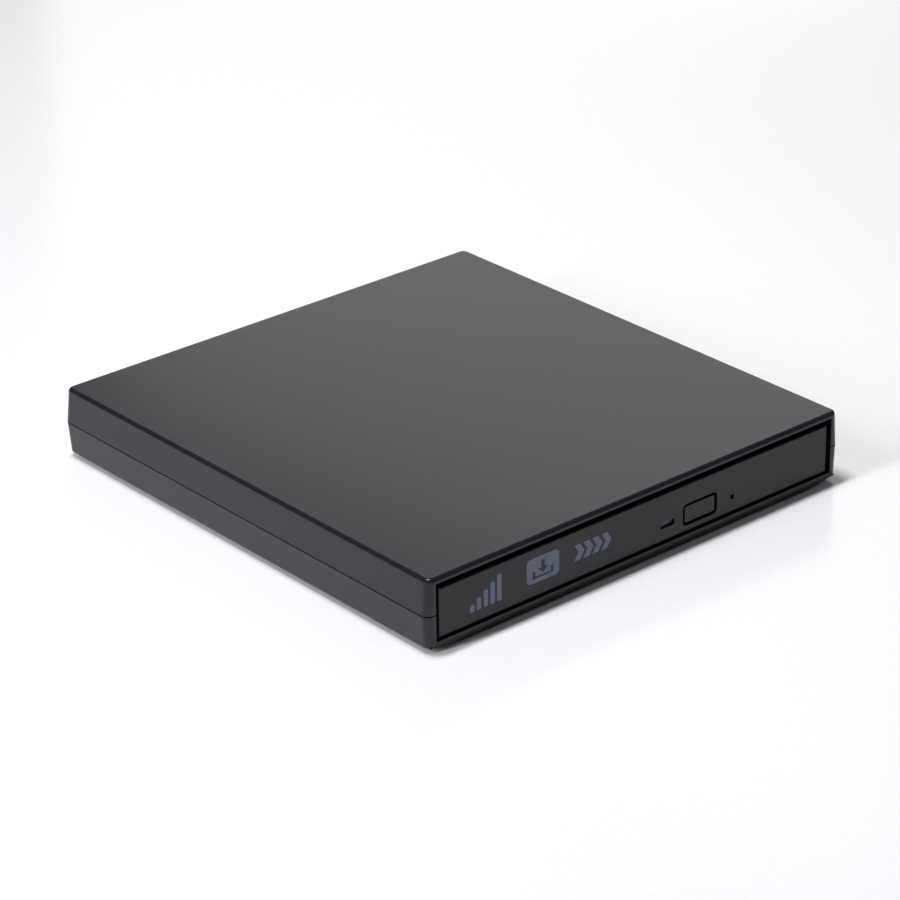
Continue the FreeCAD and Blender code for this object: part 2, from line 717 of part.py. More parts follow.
def make_chassis():
    pan = Moulding("drive_chassis")
    floor = D.drive_low + D.sheet
    inside = D.drive_half - D.sheet
    pan.pad("XY", D.drive_low, D.pan_high,
            rectangle(-D.drive_half, D.drive_half, D.drive_front, D.drive_back))
    pan.pocket("XY", floor, D.pan_high,
               rectangle(-inside, inside, D.drive_front - 1, D.drive_back - D.sheet))
    pan.pocket("XZ", D.drive_back - 1, D.drive_back + 1,
               rectangle(-D.link_half - 0.3, D.link_half + 0.3, floor, D.link_high + 0.2),
               circle(46.3, 11.5, 0.9), circle(53.7, 11.5, 0.9))
    posts = [circle(x, y, 2) for x in mirrored(34) for y in (18, 52)]
    pan.pad("XY", floor, D.main_low, *posts)
    slots = [rounded(x, x + 22, y, y + 6, 1.5) for x in (-50, -14, 22) for y in (-40, -20)]
    pan.pocket("XY", D.drive_low, D.drive_low + 0.2, *slots)

    lid = Moulding("drive_lid")
    lid_top = D.pan_high + D.lid_sheet
    side = D.drive_half + 0.45
    lid.pad("XY", D.pan_high, lid_top, rectangle(-side, side, D.drive_front, D.drive_back))
    for x in ((-side, -D.drive_half - 0.05), (D.drive_half + 0.05, side)):
        lid.pad("XY", D.lid_skirt, D.pan_high, rectangle(x[0], x[1], D.drive_front + 2, D.drive_back - 4))
    lid.pocket("XY", lid_top - 0.2, lid_top, circle(0, D.disc_y, 52), circle(0, D.disc_y, 46))

    node("main_board", block((-40, 40), (14, 57.2), (D.main_low, D.main_low + D.main_thick)))
    top = D.main_low + D.main_thick
    chips = [((-8, 8), (22, 38)), ((-30, -18), (24, 34)), ((16, 24), (26, 38)), ((-28, -20), (42, 50)),
             ((-6, 6), (44, 49)), ((14, 20), (44, 52)), ((28, 36), (30, 34)), ((28, 33), (40, 46))]
    node("main_board_chips", *[block(x, y, (top, top + 0.85)) for x, y in chips])
    receptacle = block(mirrored(D.link_half), (57.25, D.link_plane), (floor + 0.1, D.link_high))
    recess = block(mirrored(D.link_half - 2), (57.9, D.link_plane), (5.8, 7.7))
    node("drive_connector", cut(receptacle, recess))
    node("latch_pin", rod("Z", D.catch_round, floor, 5.85, D.catch_x, D.catch_y))


def make_rails():
    guides = []
    for name, side in (("left", -1), ("right", 1)):
        def span(low, high):
            return (as_size(low) * side, as_size(high) * side)[::side]

        guide = Moulding(name + "_guide", grouped=True)
        guides.append(guide.body)
        guide_low = D.rail_low - D.play / 2 - D.guide_lip
        guide_high = D.rail_high + D.play / 2 + D.guide_lip
        guide.pad("XZ", D.rail_front, 56.5,
                  rectangle(*span(D.guide_in, D.guide_out), guide_low, guide_high))
        guide.pocket("XZ", D.rail_front, 56.5,
                     rectangle(*span(D.guide_in, D.rail_out + D.play),
                               guide_low + D.guide_lip, guide_high - D.guide_lip))
        rail = Moulding(name + "_rail")
        rail.pad("XZ", D.rail_front, D.rail_back,
                 rectangle(*span(D.rail_in, D.rail_out), D.rail_low, D.rail_high))
        rail.pocket("XZ", D.rail_front, D.rail_back,
                    rectangle(*span(D.rail_in, D.rail_out - D.rail_sheet),
                              D.rail_low + D.rail_sheet, D.rail_high - D.rail_sheet))
    node("rail_guides", *guides)


def spring(radius, wire, length, turns):
    """A coil spring about Z from its own origin."""
    helix = DOC.addObject("Part::Helix", "helix")
    helix.Radius = radius
    helix.Height = length
    helix.Pitch = length / turns
    section = DOC.addObject("Part::Circle", "wire")
    section.Radius = wire
    section.Placement = Placement(Vector(radius, 0, 0), Rotation(Vector(1, 0, 0), 90))
    coil = DOC.addObject("Part::Sweep", "coil")
    coil.Sections = [section]
    coil.Spine = (helix, [])
    coil.Solid = True
    coil.Frenet = True
    return coil


def make_ejector():
    """A sprung rod at the back of the pan that pushes the released tray open."""
    x = D.ejector_x
    z = D.ejector_z
    house = block((x - 3.4, x + 3.4), (46.0, 57.25), (D.drive_low + D.sheet, 9.5))
    room = rod("Y", 1.55, 45.9, 56.2, x, z)
    node("ejector_housing", cut(house, room))
    stem = rod("Y", 0.8, 41.3, 56.0, x, z)
    head = rod("Y", 1.45, 40.1, 41.3, x, z)
    node("ejector_pusher", fuse(stem, head))
    coil = spring(1.18, 0.15, 13.6, 12)
    node("ejector_spring", coil, where=Placement(Vector(x.value, 41.6, z.value), AXIS_TURN["Y"]))


# ---------------------------------------------------------------- tray

SLOT_TURN = 225.0
GROUP = Placement(Vector(0, D.disc_y.value, 0), Rotation(Vector(0, 0, 1), SLOT_TURN))
DAMPERS = [(-13.0, -14.0), (-13.0, 14.0), (36.0, -21.5), (36.0, 23.9)]


def in_tray(x, y):
    """A point of the traverse group in the tray's own axes."""
    point = GROUP.multVec(Vector(x, y, 0))
    return (point.x, point.y)


def make_tray():
    tray = Moulding("tray")
    front = D.tray_front
    back = D.tray_back
    tray.pad("XY", D.tray_low, D.tray_top, rectangle(-D.tray_half, D.tray_half, front, back))
    tray.pad("XY", D.flange_low, D.tray_top, rectangle(-D.tray_flange, D.tray_flange, front, back))
    rib_low = D.rail_low + D.rail_sheet + D.play
    rib_high = D.rail_high - D.rail_sheet - D.play
    tray.pad("XY", rib_low, rib_high, rectangle(-D.tray_rib, D.tray_rib, front, back))
    tray.pocket("XY", D.deck_high, D.tray_top, circle(0, D.disc_y, D.disc_well))
    tray.pocket("XY", D.small_deck, D.deck_high, circle(0, D.disc_y, D.small_well))
    tray.pocket("XY", D.tray_low, D.deck_low,
                rectangle(-D.well_half_x, D.well_half_x, D.well_front, D.well_back))
    tray.pocket("XY", D.deck_low, D.deck_high, rectangle(0, D.slot_end, -D.slot_half, D.slot_half),
                turn=SLOT_TURN, centre=(0, D.disc_y))
    tray.pocket("XY", D.deck_low, D.deck_high, circle(0, D.disc_y, D.hub_window))
    tray.pocket("XY", D.deck_low, D.deck_high, rectangle(0, 16, 15, 24.4),
                turn=SLOT_TURN, centre=(0, D.disc_y))
    scoops = [circle(58 * math.cos(math.radians(turn)), D.disc_y + 58 * math.sin(math.radians(turn)), 9)
              for turn in (-40, 140)]
    tray.pocket("XY", D.deck_high, D.tray_top, *scoops)
    pillars = [circle(*in_tray(x, y), 2.2) for x, y in DAMPERS]
    tray.pad("XY", 8.4, D.deck_low, *pillars)
    pilots = [circle(*in_tray(x, y), 0.85) for x, y in DAMPERS]
    tray.pocket("XY", 8.4, 10.3, *pilots)
    corners = [(55, -44), (56, 50), (-20, 51.5), (-56, 34)]
    tray.pad("XY", D.tray_low, D.deck_low, *[circle(x, y, 2.2) for x, y in corners])
    tray.pocket("XY", D.tray_low, 9.2, *[circle(x, y, 0.75) for x, y in corners])
    webs = [rectangle(x, x + 1.2, y, D.well_back) for x, y in ((22, 12), (36, 2))]
    tray.pad("XY", D.tray_low, D.deck_low, *webs)
    tray.pad("XY", D.tray_low, D.deck_low, rectangle(-58.9, -42, 38.9, 40.1))
    # The rear wall is open where the ejector reaches in.
    tray.pocket("XZ", D.well_back - 0.1, back + 0.1,
                rectangle(D.ejector_x - 4.2, D.ejector_x + 4.2, D.tray_low, D.deck_low))
    # The front wall is open behind the button, the lamp lens and the release hole.
    tray.pocket("XZ", front - 0.1, D.well_front + 0.1,
                rectangle(D.button_x - 3, D.button_x + 3, 7.1, 9.2),
                rectangle(D.lamp_x - 2.5, D.lamp_x + 2.5, 6.6, 8.4),
                circle(D.pinhole_x, D.pinhole_z, 0.95))

    shield = Moulding("tray_shield")
    low = D.tray_low - D.shield_thick
    shield.pad("XY", low, D.tray_low, rectangle(-59, 59, D.well_front + 0.4, D.well_back + 0.6))
    shield.pocket("XY", low, D.tray_low, circle(D.pivot_x, D.pivot_y, 3.0),
                  rectangle(D.ejector_x - 4.2, D.ejector_x + 4.2, 39.6, 56),
                  *[circle(*in_tray(x, y), 2.6) for x, y in DAMPERS],
                  *[circle(x, y, 1.0) for x, y in corners])
    screws = []
    for x, y in corners:
        head = rod("Z", 1.9, 5.95, low, x, y)
        shank = rod("Z", 0.7, low, 9.0, x, y)
        screws.append(fuse(head, shank))
    node("tray_screws", *screws)


def make_front():
    bezel = Moulding("bezel")
    half = D.bezel_half
    inner = D.bezel_face + D.bezel_plate
    rear = D.tray_front
    bezel.pad("XZ", D.bezel_face, rear, rectangle(-half, half, D.bezel_low, D.bezel_high))
    bezel.dress("Fillet", 0.45, facing_front(D.bezel_face))
    bezel.pocket("XZ", inner, rear,
                 rectangle(-half + D.bezel_rim, half - D.bezel_rim,
                           D.bezel_low + D.bezel_rim, D.bezel_high - D.bezel_rim))
    lugs = [rectangle(x, x + 12, 10.6, 12.8) for x in (-50, -6, 38)]
    bezel.pad("XZ", inner, rear, *lugs)
    bezel.pad("XZ", inner, rear, circle(D.pinhole_x, D.pinhole_z, 1.7))
    clips = [rectangle(x, x + 8, 5.1, 5.9) for x in (-46, -18, 3, 46)]
    bezel.pad("XZ", inner, -64.5, *clips)
    wide = D.button_wide / 2 + D.button_gap
    tall = D.button_tall / 2 + D.button_gap
    bezel.pocket("XZ", D.bezel_face - 0.1, inner + 0.1,
                 rounded(D.button_x - wide, D.button_x + wide, D.button_z - tall, D.button_z + tall,
                         D.button_round + D.button_gap),
                 rounded(D.lamp_x - D.lamp_wide / 2, D.lamp_x + D.lamp_wide / 2,
                         D.lamp_z - D.lamp_tall / 2, D.lamp_z + D.lamp_tall / 2, D.lamp_round))
    bezel.pocket("XZ", D.bezel_face - 0.1, rear + 0.1, circle(D.pinhole_x, D.pinhole_z, D.pinhole_round))

    button = Moulding("eject_button")
    wide = D.button_wide / 2
    tall = D.button_tall / 2
    face = D.bezel_face + D.button_sunk
    button.pad("XZ", face, face + D.button_plate,
               rounded(D.button_x - wide, D.button_x + wide, D.button_z - tall, D.button_z + tall,
                       D.button_round))
    button.dress("Fillet", 0.12, facing_front(face))
    button.pad("XZ", face + D.button_plate, -67.1, rectangle(D.button_x - 2, D.button_x + 2, 7.4, 8.8))

    lens = Moulding("led_lens")
    half = D.lamp_wide / 2 - D.lamp_play
    tall = D.lamp_tall / 2 - D.lamp_play
    lens.pad("XZ", D.bezel_face + D.lamp_sunk, -66.9,
             rounded(D.lamp_x - half, D.lamp_x + half, D.lamp_z - tall, D.lamp_z + tall,
                     D.lamp_round - D.lamp_play))

    base = D.tray_low + 0.5
    led = block((D.lamp_x - 0.8, D.lamp_x + 0.8), (-66.3, -65.4), (base, base + 0.9))
    node("front_board", block((4, 27), (-66.4, -61.0), (D.tray_low, base)), led)
    case = block((D.button_x - 3, D.button_x + 3), (-65.9, -62.5), (base, 9.1))
    tip = block((D.button_x - 1, D.button_x + 1), (-66.3, -65.9), (7.5, 8.7))
    node("eject_switch", fuse(case, tip))


# ---------------------------------------------------------------- latch

def make_latch():
    lever = Moulding("latch_lever")
    x = D.pivot_x
    y = D.pivot_y
    lever.pad("XY", D.hook_low, 8.4, circle(x, y, 2.2))
    lever.pad("XY", D.arm_low, D.arm_high, rectangle(x - 10, x - 1.5, y - 0.8, y + 0.8))
    lever.pad("XY", D.arm_low, D.arm_high, rectangle(x - 0.8, x + 0.8, y - 5.8, y - 1.5))
    lever.pad("XY", D.hook_low, D.hook_high,
              polygon((x - 0.9, y + 1.5), (x + 0.9, y + 1.5), (x + 0.9, y + 14.3), (x - 2.95, y + 14.3),
                      (x - 2.95, y + 13.0), (x - 0.9, y + 13.0)))
    lever.pocket("XY", D.hook_low, 8.4, circle(x, y, D.pivot_round + 0.05))
    pin = rod("Z", D.pivot_round, 4.6, D.deck_low, x, y)
    cap = rod("Z", 1.6, 4.2, 4.6, x, y)
    node("latch_pivot_pin", fuse(pin, cap))
    can = block((44, 55), (D.coil_y - 2.9, D.coil_y + 2.9), (D.tray_low + 0.1, 9.6))
    bore = rod("X", 0.9, 43.9, 52, D.coil_y, D.coil_z)
    node("latch_solenoid", cut(can, bore))
    stem = rod("X", 0.8, 41.2, 51, D.coil_y, D.coil_z)
    tip = block((40.45, 41.2), (D.coil_y - 1.1, D.coil_y + 1.1), (7.0, 9.0))
    node("solenoid_plunger", fuse(stem, tip))


# ---------------------------------------------------------------- spindle

def make_spindle():
    """The disc motor and the turntable, about the disc's axis."""
    centre = GROUP
    base = Moulding("motor_base")
    base.pad("XY", 6.55, D.plate_low, circle(0, 0, 15.0), circle(0, 0, D.shaft_round + 0.3))
    base.place(centre)

    sleeve = Moulding("bearing_sleeve")
    sleeve.pad("XY", D.plate_low, 10.3, circle(0, 0, D.sleeve_round),
               circle(0, 0, D.shaft_round + D.shaft_play))
    sleeve.place(centre)

    stator = Moulding("stator_core", grouped=True)
    stator.pad("XY", 8.4, 9.6, circle(0, 0, 5.0), circle(0, 0, D.sleeve_round))
    tooth = stator.pad("XY", 8.4, 9.6, polygon((4.6, -0.8), (9.2, -0.8), (9.6, -2.4), (10.3, -2.3),
                                               (10.3, 2.3), (9.6, 2.4), (9.2, 0.8), (4.6, 0.8)))
    stator.polar(tooth, 9)
    coils = Moulding("stator_coils", grouped=True)
    winding = coils.pad("YZ", 5.5, 9.0, rounded(-1.5, 1.5, 8.0, 10.0, 0.4),
                        rectangle(-0.82, 0.82, 8.38, 9.62))
    coils.polar(winding, 9)
    node("motor_stator", stator.body, coils.body, where=centre)

    cup = Moulding("rotor_cup")
    rim = D.rotor_round
    roof = D.rotor_high - D.cup_sheet
    cup.turn("Revolution", polygon((D.shaft_round, roof), (D.shaft_round, D.rotor_high),
                                   (rim, D.rotor_high), (rim, D.rotor_low),
                                   (rim - D.cup_sheet, D.rotor_low), (rim - D.cup_sheet, roof)))
    cup.place(centre)

    magnet = Moulding("rotor_magnet")
    magnet.pad("XY", 8.0, roof, circle(0, 0, rim - D.cup_sheet), circle(0, 0, 10.9))
    magnet.place(centre)
    node("spindle_shaft", rod("Z", D.shaft_round, 7.3, 14.2, 0, 0), where=centre)

    table = Moulding("turntable")
    hub = D.hub_round
    table.turn("Revolution", polygon((D.shaft_round, D.rotor_high), (13.0, D.rotor_high), (13.0, 12.0),
                                     (hub, 12.0), (hub, 13.8), (hub - 0.7, D.hub_top),
                                     (D.shaft_round, D.hub_top)))
    table.turn("Groove", rectangle(9.4, 12.7, 11.7, 12.0))
    table.turn("Groove", rectangle(2.2, 4.2, 13.5, D.hub_top))
    play = 0.05
    slot = table.pocket("XY", D.pawl_low - play, D.pawl_high + play,
                        rectangle(4.9, 8.5, -D.pawl_wide / 2 - play, D.pawl_wide / 2 + play))
    table.polar(slot, 3)
    table.place(centre)

    ring = Moulding("turntable_ring")
    ring.pad("XY", 11.7, D.disc_plane, circle(0, 0, 12.6), circle(0, 0, 9.5))
    ring.place(centre)

    for index in range(3):
        pawl = Moulding(f"hub_pawl_{index + 1}")
        nose = D.pawl_nose
        pawl.pad("XY", D.pawl_low, D.pawl_high,
                 polygon((5.5, -D.pawl_wide / 2), (7.3, -D.pawl_wide / 2), (nose, -0.5), (nose, 0.5),
                         (7.3, D.pawl_wide / 2), (5.5, D.pawl_wide / 2)))
        turn = Rotation(Vector(0, 0, 1), SLOT_TURN + 120.0 * index)
        pawl.place(Placement(GROUP.Base, turn))


# ---------------------------------------------------------------- pickup and its traverse

def make_traverse():
    """The plate that carries the motor, the rods, the sled and the feed, along its own X."""
    frame = Moulding("traverse_frame")
    low = D.plate_low
    high = D.plate_low + D.plate_thick
    outer = 18.2
    frame.pad("XY", low, high,
              polygon((-17, -outer), (61.5, -outer), (66, -16.6), (66, 16.6), (61.5, outer), (-17, outer)))
    for x, y in DAMPERS[2:]:
        frame.pad("XY", low, high, circle(x, y, 3.3))
    frame.pad("XY", low, high, rectangle(58, 63, 17, 21.5))
    frame.pocket("XY", low, high, rectangle(15.4, 63.3, -16.5, 16.5))
    frame.pocket("XY", low, high, rectangle(1.9, 14.6, 16.3, 19))
    frame.pocket("XY", low, high, circle(0, 0, 13.6))
    frame.pocket("XY", low, high, *[circle(x, y, 1.7) for x, y in DAMPERS])
    posts = [rectangle(x, x + 2, side * 14.6 - 1.4, side * 14.6 + 1.4)
             for x in (9.4, 63.5) for side in (-1, 1)]
    frame.pad("XY", high, 9.75, *posts)
    frame.pad("XY", high, 9.75, rectangle(60.2, 62.2, 18.0, 21.2))
    frame.pad("XY", low, 9.75, rectangle(14.6, 15.4, 16.6, 23.0))
    bores = [circle(side * 14.6, D.rod_z, D.rod_round + 0.02) for side in (-1, 1)]
    frame.pocket("YZ", 9.3, 65.6, *bores)
    frame.pocket("YZ", 60.1, 62.3, circle(D.screw_y, D.screw_z, 0.55))
    frame.pocket("YZ", 14.5, 15.5, circle(D.screw_y, D.screw_z, 1.55))
    frame.place(GROUP)

    cover = Moulding("traverse_cover")
    edge = D.slot_half - 0.3
    cover.pad("XY", 10.15, 10.5, circle(0, 0, D.hub_window - 0.3))
    cover.pad("XY", 10.15, 10.5, rectangle(0, D.slot_end - 0.3, -edge, edge),
              rectangle(0.3, 15.7, edge, 24.1))
    cover.pocket("XY", 10.15, 10.5, circle(0, 0, 13.6))
    cover.pocket("XY", 10.15, 10.5, rounded(19.2, D.slot_end - 0.2, -9.6, 9.6, 1.0))
    cover.place(GROUP)

    rods = [rod("X", D.rod_round, D.rod_start, D.rod_end, y, D.rod_z) for y in mirrored(D.rod_y)]
    node("guide_rods", *rods, where=GROUP)

    grommets = []
    screws = []
    for x, y in DAMPERS:
        flange = rod("Z", 2.3, 6.7, 8.35, x, y)
        neck = rod("Z", 1.65, low - 0.1, high + 0.1, x, y)
        waist = cut(rod("Z", 2.6, low - 0.02, high + 0.02, x, y), neck)
        grommets.append(cut(flange, waist, rod("Z", 0.9, 6.6, 8.4, x, y)))
        screws.append(fuse(rod("Z", 2.0, 6.2, 6.7, x, y), rod("Z", 0.8, 6.7, 10.2, x, y)))
    node("rubber_dampers", *grommets, where=GROUP)
    node("damper_screws", *screws, where=GROUP)

    motor = block((2.0, 14.5), (16.4, 23.0), (6.6, 10.1))
    nose = rod("X", 1.5, 14.5, 15.2, D.screw_y, D.screw_z)
    bore = rod("X", 0.55, 13.0, 15.3, D.screw_y, D.screw_z)
    node("feed_motor", cut(fuse(motor, nose), bore), where=GROUP)

    # The groove starts where one of its turns faces the sled's tooth at the inner stop.
    lead = D.screw_lead.value
    start = D.home.value - lead * 2.75
    worm = rod("X", D.screw_round, start - 0.2, 60.0, D.screw_y, D.screw_z)
    helix = DOC.addObject("Part::Helix", "screw_path")
    bind(helix, "Radius", D.screw_round)
    bind(helix, "Pitch", D.screw_lead)
    helix.Height = 42.0
    section = DOC.addObject("Part::Circle", "screw_groove")
    bind(section, "Radius", D.groove_round)
    section.Placement = Placement(Vector(D.screw_round.value, 0, 0), Rotation(Vector(1, 0, 0), 90))
    thread = DOC.addObject("Part::Sweep", "screw_thread")
    thread.Sections = [section]
    thread.Spine = (helix, [])
    thread.Solid = True
    thread.Frenet = True
    thread.Placement = Placement(Vector(start, D.screw_y.value, D.screw_z.value), AXIS_TURN["X"])
    journal = rod("X", 0.5, 13.5, 62.6, D.screw_y, D.screw_z)
    node("lead_screw", fuse(cut(worm, thread), journal), where=GROUP)


def make_pickup():
    """The sled and what it carries, drawn at the inner stop."""
    x = D.home
    sled = Moulding("pickup_sled")
    near = x - D.sled_half
    far = x + D.sled_half
    sled.pad("XY", 6.9, 9.6, rectangle(near, far, -12.6, 12.6))
    sled.pad("XY", 7.0, 9.75, rectangle(near, near + 3, 12.0, 16.3), rectangle(far - 3, far, 12.0, 16.3))
    sled.pad("XY", 7.0, 9.75, rectangle(near, far, -16.3, -12.0))
    sled.pad("XY", 9.6, 10.05, rectangle(x - D.turret_half, x + D.turret_half, -9.0, 18.0))
    sled.pocket("YZ", near, far, circle(-D.rod_y, D.rod_z, D.rod_round + 0.05))
    sled.pocket("YZ", near, far, rectangle(D.rod_y - 1.0, 16.4, 7.8, 9.5))
    sled.pocket("XY", 9.0, 10.1, rounded(x - 3.0, x + 3.0, -7.5, 3.5, 0.6))
    sled.pad("XY", 8.05, 9.7, rectangle(x - 1.2, x + 1.2, 17.0, 18.0))
    sled.place(GROUP)

    tooth = DOC.addObject("Part::Sphere", "tooth")
    bind(tooth, "Radius", D.groove_round - 0.07)
    bind(tooth, "Placement.Base.x", x)
    bind(tooth, "Placement.Base.y", D.screw_y - D.screw_round)
    bind(tooth, "Placement.Base.z", D.screw_z)
    width = 0.25
    pad = block((x - width, x + width), (18.0, D.screw_y - D.screw_round - 0.03),
                (D.screw_z - width, D.screw_z + width))
    node("drive_tooth", fuse(pad, tooth), where=GROUP)

    cover = Moulding("pickup_cover")
    cover.pad("XY", 10.05, 10.85, rounded(x - D.turret_half, x + D.turret_half, -8.8, 8.8, 0.8))
    cover.pocket("XY", 10.05, 10.85, rounded(x - 3.0, x + 3.0, -7.5, 3.5, 0.6))
    cover.dress("Fillet", 0.2, flat_at(10.85))
    cover.place(GROUP)

    holder = Moulding("lens_holder")
    holder.pad("XY", 9.7, 10.6, rounded(x - 2.7, x + 2.7, -4.9, 0.9, 0.5))
    holder.pad("XY", 10.6, 11.05, circle(x, -2.0, 2.4))
    holder.pocket("XY", 9.7, 11.05, circle(x, -2.0, D.lens_round - 0.5))
    holder.pocket("XY", 10.5, 11.05, circle(x, -2.0, D.lens_round))
    holder.place(GROUP)

    lens = Moulding("objective_lens")
    edge = D.lens_round - 0.02
    lens.turn("Revolution", polygon((0, 10.5), (edge, 10.5), (edge, 11.0), (1.3, 11.28), (0.6, D.lens_top),
                                    (0, D.lens_top)))
    lens.place(GROUP * Placement(Vector(x.value, -2.0, 0), Rotation()))


def make_flex():
    """The two flat cables: the fold under the tray, and the one from the sled to the tray."""
    node("tray_flex", block((-12, 10), (-12.0, 20.0), (5.1, 5.25)))
    node("pickup_flex", block((17.5, 30.0), (-7.0, 7.0), (6.6, 6.75)), where=GROUP)


def export_nodes():
    """Stop if anything is broken; otherwise write one STEP file for each sub-part."""
    DOC.recompute()
    for thing in DOC.Objects:
        if "Invalid" in thing.State or "Error" in thing.State:
            raise ValueError(f"{thing.Label}: {thing.State}")
    for thing in NODES:
        if thing.Shape.isNull() or not thing.Shape.isValid() or not thing.Shape.Solids:
            raise ValueError(f"{thing.Label}: bad shape")
    os.makedirs("parts", exist_ok=True)
    for thing in NODES:
        thing.Shape.exportStep(f"parts/{thing.Label}.step")
    print(len(NODES), "sub-parts")


make_top_cover()
make_bottom_cover()
make_enclosure_hardware()
make_bridge()
make_chassis()
make_rails()
make_ejector()
make_tray()
make_front()
make_latch()
make_spindle()
make_traverse()
make_pickup()
make_flex()
export_nodes()
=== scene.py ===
import json
import math

import bmesh
import bpy
from mathutils import Matrix, Vector
from mathutils.geometry import tessellate_polygon


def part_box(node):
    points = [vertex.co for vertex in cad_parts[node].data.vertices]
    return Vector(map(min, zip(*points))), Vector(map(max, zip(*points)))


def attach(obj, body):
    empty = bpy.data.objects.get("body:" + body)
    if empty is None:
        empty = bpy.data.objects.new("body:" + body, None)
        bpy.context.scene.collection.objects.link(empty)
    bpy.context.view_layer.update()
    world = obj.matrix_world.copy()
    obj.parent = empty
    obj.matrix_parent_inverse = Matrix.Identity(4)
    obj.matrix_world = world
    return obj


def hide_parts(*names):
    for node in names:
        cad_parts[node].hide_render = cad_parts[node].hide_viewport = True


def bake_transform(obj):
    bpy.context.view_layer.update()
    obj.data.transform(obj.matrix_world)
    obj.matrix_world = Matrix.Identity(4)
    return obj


# External optical drive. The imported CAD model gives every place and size; this script adds the
# materials, the printed marks, the soft and sprung pieces, the light and the camera. Metres.

MM = 0.001
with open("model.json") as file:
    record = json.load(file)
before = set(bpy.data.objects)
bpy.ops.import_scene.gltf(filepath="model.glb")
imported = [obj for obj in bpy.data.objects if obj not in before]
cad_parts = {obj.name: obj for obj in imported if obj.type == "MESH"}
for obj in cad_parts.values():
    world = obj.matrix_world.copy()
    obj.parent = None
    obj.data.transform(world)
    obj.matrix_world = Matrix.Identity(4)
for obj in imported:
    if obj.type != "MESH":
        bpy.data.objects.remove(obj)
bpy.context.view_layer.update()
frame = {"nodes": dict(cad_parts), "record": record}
NODES = frame["nodes"]


# ---------------------------------------------------------------- camera, floor and light

VIEW_AZIMUTH = math.radians(-40.509)
VIEW_ELEVATION = math.radians(25.986)
VIEW_ROLL = math.radians(-0.84)
VIEW_DISTANCE = 884.5 * MM
VIEW_TARGET = Vector((4.584, 4.49, 1.53)) * MM
FOCAL_LENGTH = 138.06
SENSOR = 36.0
SKY_STRENGTH = 0.13
KEY_POWER = 8.0
FILL_POWER = 4.5
WALL_POWER = 0.78
COOL_WHITE = (0.96, 0.96, 1.0)
WARM_WHITE = (1.0, 0.96, 0.905)
FLOOR_HALF = 3.0


def make_camera():
    """A long lens looking down on the front left corner."""
    flat = math.cos(VIEW_ELEVATION)
    back = Vector((math.sin(VIEW_AZIMUTH) * flat, -math.cos(VIEW_AZIMUTH) * flat,
                   math.sin(VIEW_ELEVATION)))
    right = (-back).cross(Vector((0, 0, 1))).normalized()
    up = back.cross(right)
    turned_right = math.cos(VIEW_ROLL) * right + math.sin(VIEW_ROLL) * up
    turned_up = -math.sin(VIEW_ROLL) * right + math.cos(VIEW_ROLL) * up
    data = bpy.data.cameras.new("camera")
    data.lens = FOCAL_LENGTH
    data.sensor_width = SENSOR
    data.clip_end = 20.0
    camera = bpy.data.objects.new("camera", data)
    turn = Matrix((turned_right, turned_up, back)).transposed().to_4x4()
    camera.matrix_world = Matrix.Translation(VIEW_TARGET + back * VIEW_DISTANCE) @ turn
    bpy.context.scene.collection.objects.link(camera)
    bpy.context.scene.camera = camera


def make_light(name, place, target, size, power, colour, mirrored=True):
    """A rectangular soft box."""
    data = bpy.data.lights.new(name, "AREA")
    data.shape = "RECTANGLE"
    data.size, data.size_y = size
    data.energy = power
    data.color = colour
    light = bpy.data.objects.new(name, data)
    aim = Vector(target) - Vector(place)
    light.visible_camera = False
    light.visible_glossy = mirrored
    light.matrix_world = Matrix.Translation(place) @ aim.to_track_quat("-Z", "Y").to_matrix().to_4x4()
    bpy.context.scene.collection.objects.link(light)


def make_studio():
    """A white table in a dim room: a soft box overhead, a fill from the left, and a bright panel
    to the right and behind, which the top mirrors."""
    world = bpy.data.worlds.new("studio")
    world.use_nodes = True
    sky = world.node_tree.nodes["Background"]
    sky.inputs["Color"].default_value = (1.0, 1.0, 1.0, 1.0)
    sky.inputs["Strength"].default_value = SKY_STRENGTH
    scene = bpy.context.scene
    scene.world = world
    scene.view_settings.view_transform = "Standard"
    make_light("key_box", (-0.12, 0.08, 1.0), (0, 0.08, 0), (0.1, 0.3), KEY_POWER, COOL_WHITE)
    make_light("left_fill", (-0.75, 0.02, 0.45), (0, 0.02, 0), (0.09, 0.5), FILL_POWER, COOL_WHITE,
               mirrored=False)
    make_light("right_wall", (0.4, 0.47, 0.21), (0, 0.47, 0.21), (0.6, 0.42), WALL_POWER, WARM_WHITE)


# ---------------------------------------------------------------- mesh helpers

def new_object(name, mesh):
    thing = bpy.data.objects.new(name, mesh)
    bpy.context.scene.collection.objects.link(thing)
    return thing


def ride_on(thing, body):
    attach(thing, body)
    return thing


def mesh_from(name, vertices, faces):
    mesh = bpy.data.meshes.new(name)
    mesh.from_pydata([tuple(v) for v in vertices], [], faces)
    mesh.update()
    return mesh


def mesh_of(name, solid, material):
    """A mesh made from a bmesh, which is freed, with its faces turned outwards."""
    bmesh.ops.recalc_face_normals(solid, faces=list(solid.faces))
    mesh = bpy.data.meshes.new(name)
    solid.to_mesh(mesh)
    solid.free()
    mesh.materials.append(material)
    return mesh


def close_tube(solid, rings):
    """Skin rings of vertices one after another, with a cap at each end."""
    count = len(rings[0])
    for one, two in zip(rings, rings[1:]):
        for side in range(count):
            following = (side + 1) % count
            solid.faces.new((one[side], one[following], two[following], two[side]))
    solid.faces.new(rings[0][::-1])
    solid.faces.new(rings[-1])


# ---------------------------------------------------------------- materials

